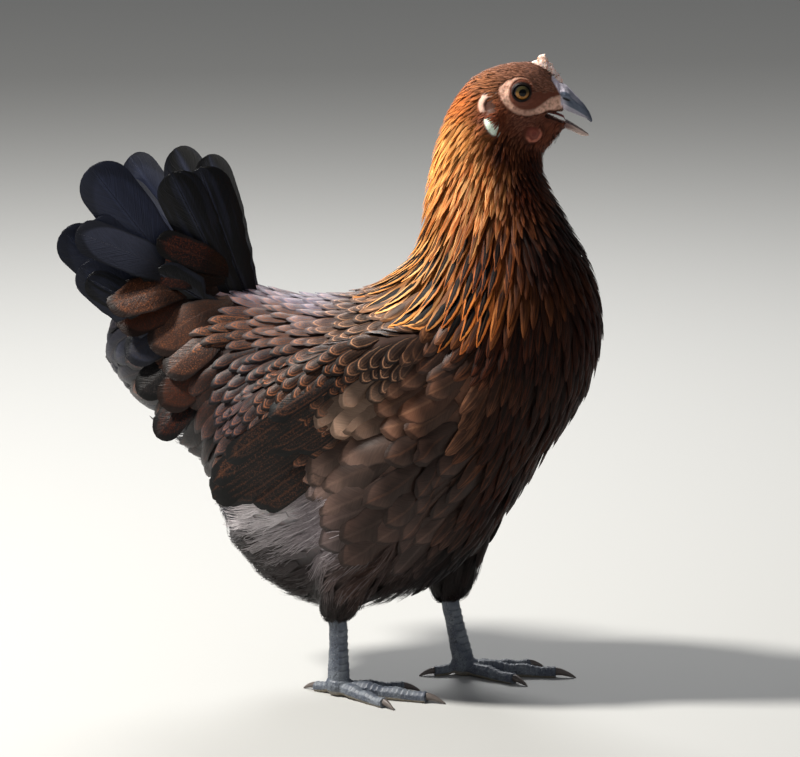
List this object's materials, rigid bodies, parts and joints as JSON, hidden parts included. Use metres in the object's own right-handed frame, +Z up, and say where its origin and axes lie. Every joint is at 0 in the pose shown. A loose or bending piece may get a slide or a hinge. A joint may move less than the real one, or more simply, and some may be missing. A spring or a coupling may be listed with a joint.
{
  "type": "hen",
  "caption": "Life-size still model of a young hen, standing in a walking pose with its bill open and its tail raised.",
  "frame": {"origin": "on the floor, under the middle of the bounding box", "axes": "+X the way the hen's body faces, +Y to its left, +Z up"},
  "size_m": [0.3434, 0.1662, 0.4127],
  "materials": {
    "body_feather": "soft matt plumage, dark brown with rust and grey",
    "hackle_feather": "silky plumage, golden brown with dark centres lower down",
    "wing_feather": "smooth plumage, dark brown stippled with rust",
    "thigh_feather": "loose fluffy plumage, dark brown and grey",
    "tail_feather": "smooth plumage, blue black with a low sheen",
    "face_skin": "thin matt skin with small reddish feathers",
    "comb_skin": "pale pink skin with small bumps",
    "wattle_skin": "dull red skin with folds",
    "lobe_skin": "pale smooth skin",
    "leg_scale": "slate grey scales",
    "bill_horn": "smooth slate horn",
    "claw_horn": "smooth dark horn",
    "tongue": "moist dark pink",
    "eye": "polished, clear front over an olive iris"
  },
  "bodies": {
    "root": {"bill_lower": "bill_horn", "bill_upper": "bill_horn", "claw_hind_left": "claw_horn", "claw_hind_right": "claw_horn", "claw_inner_left": "claw_horn", "claw_inner_right": "claw_horn", "claw_middle_left": "claw_horn", "claw_middle_right": "claw_horn", "claw_outer_left": "claw_horn", "claw_outer_right": "claw_horn", "comb": "comb_skin", "earlobe_left": "lobe_skin", "earlobe_right": "lobe_skin", "eye_left": "eye", "eye_right": "eye", "foot_left": "leg_scale", "foot_right": "leg_scale", "head": "face_skin", "neck": "hackle_feather", "shank_left": "leg_scale", "shank_right": "leg_scale", "tail_covert_left_1": "tail_feather", "tail_covert_left_2": "tail_feather", "tail_covert_right_1": "tail_feather", "tail_covert_right_2": "tail_feather", "tail_feather_left_1": "tail_feather", "tail_feather_left_2": "tail_feather", "tail_feather_left_3": "tail_feather", "tail_feather_left_4": "tail_feather", "tail_feather_left_5": "tail_feather", "tail_feather_left_6": "tail_feather", "tail_feather_right_1": "tail_feather", "tail_feather_right_2": "tail_feather", "tail_feather_right_3": "tail_feather", "tail_feather_right_4": "tail_feather", "tail_feather_right_5": "tail_feather", "tail_feather_right_6": "tail_feather", "tail_root": "body_feather", "thigh_left": "thigh_feather", "thigh_right": "thigh_feather", "toe_inner_left": "leg_scale", "toe_inner_right": "leg_scale", "toe_middle_left": "leg_scale", "toe_middle_right": "leg_scale", "toe_outer_left": "leg_scale", "toe_outer_right": "leg_scale", "tongue": "tongue", "trunk": "body_feather", "wattle_left": "wattle_skin", "wattle_right": "wattle_skin", "wing_left": "wing_feather", "wing_right": "wing_feather"}
  },
  "joints": []
}
